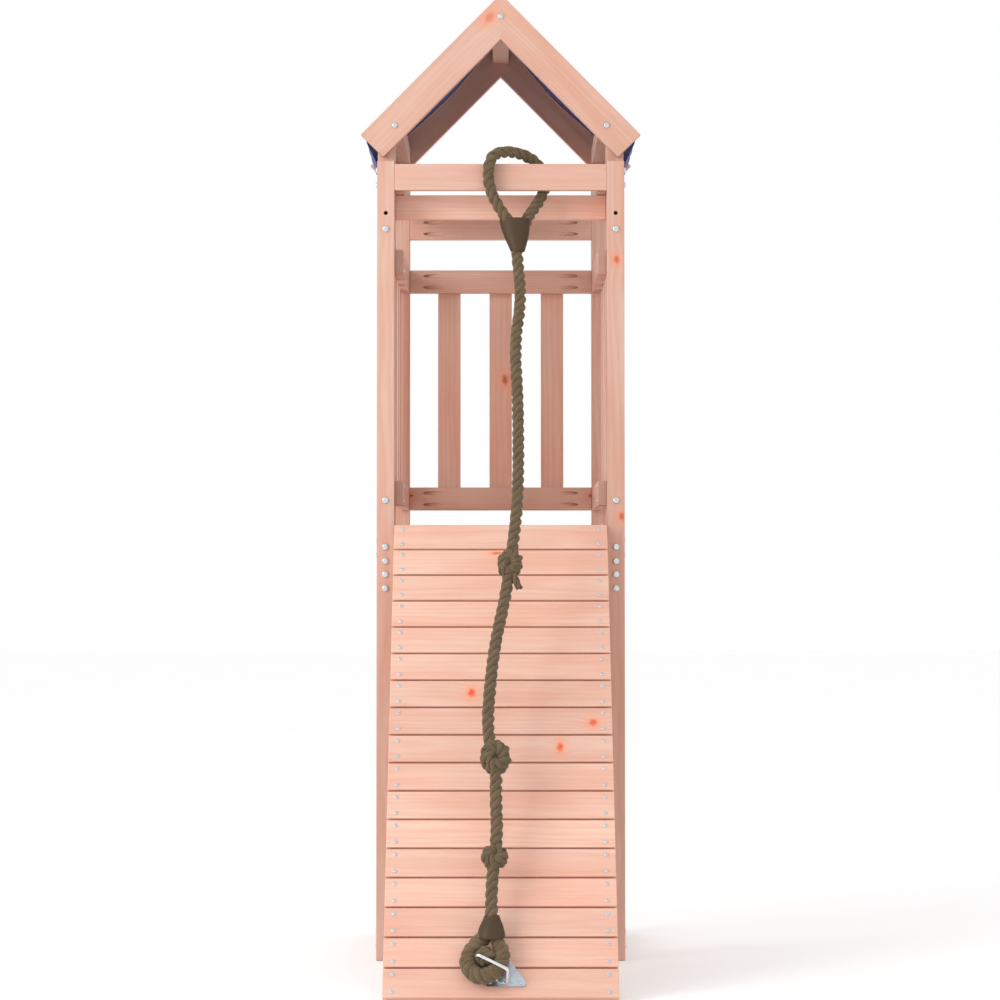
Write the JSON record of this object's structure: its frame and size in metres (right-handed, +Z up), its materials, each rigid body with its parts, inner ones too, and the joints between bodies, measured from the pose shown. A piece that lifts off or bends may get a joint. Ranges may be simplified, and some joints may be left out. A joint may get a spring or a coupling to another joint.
{
  "type": "climbing wall with play tower",
  "caption": "Wooden play tower with a canopy roof and guarded deck, and a climbing ramp of boards with a knotted rope from a bar down to a steel anchor.",
  "frame": {"origin": "on the ground under the middle of the whole structure, without the rope", "axes": "+Z up, +Y from the foot of the ramp towards the back of the tower, +X to the right of someone who faces the ramp"},
  "size_m": [0.5958, 1.1109, 2.0521],
  "materials": {
    "timber": "planed softwood, untreated",
    "galvanised_steel": "galvanised",
    "canopy_fabric": "woven, matt",
    "rope_fibre": "twisted multi-strand rope",
    "sleeve_rubber": "satin shrink sleeve"
  },
  "bodies": {
    "root": {"anchor_plate": "galvanised_steel", "anchor_ring": "galvanised_steel", "back_deck_rail": "timber", "back_ground_rail": "timber", "back_guard_rails": "timber", "back_guard_slats": "timber", "back_head_rail": "timber", "back_left_gable_board": "timber", "back_left_post": "timber", "back_right_gable_board": "timber", "back_right_post": "timber", "bolt_nuts": "galvanised_steel", "climbing_rope": "rope_fibre", "deck_boards": "timber", "frame_bolts": "galvanised_steel", "front_deck_rail": "timber", "front_head_rail": "timber", "front_left_gable_board": "timber", "front_left_post": "timber", "front_right_gable_board": "timber", "front_right_post": "timber", "left_deck_rail": "timber", "left_eaves_purlin": "timber", "left_ground_rail": "timber", "left_guard_rails": "timber", "left_guard_slats": "timber", "left_head_rail": "timber", "left_stringer": "timber", "left_upright": "timber", "ramp_board_01": "timber", "ramp_board_02": "timber", "ramp_board_03": "timber", "ramp_board_04": "timber", "ramp_board_05": "timber", "ramp_board_06": "timber", "ramp_board_07": "timber", "ramp_board_08": "timber", "ramp_board_09": "timber", "ramp_board_10": "timber", "ramp_board_11": "timber", "ramp_board_12": "timber", "ramp_board_13": "timber", "ramp_board_14": "timber", "ramp_board_15": "timber", "ramp_board_16": "timber", "ramp_board_17": "timber", "ridge_purlin": "timber", "right_deck_rail": "timber", "right_eaves_purlin": "timber", "right_ground_rail": "timber", "right_guard_rails": "timber", "right_guard_slats": "timber", "right_head_rail": "timber", "right_stringer": "timber", "right_upright": "timber", "roof_canopy": "canopy_fabric", "rope_bar": "timber", "rope_knots": "rope_fibre", "rope_sleeves": "sleeve_rubber", "wood_screws": "galvanised_steel"}
  },
  "joints": []
}
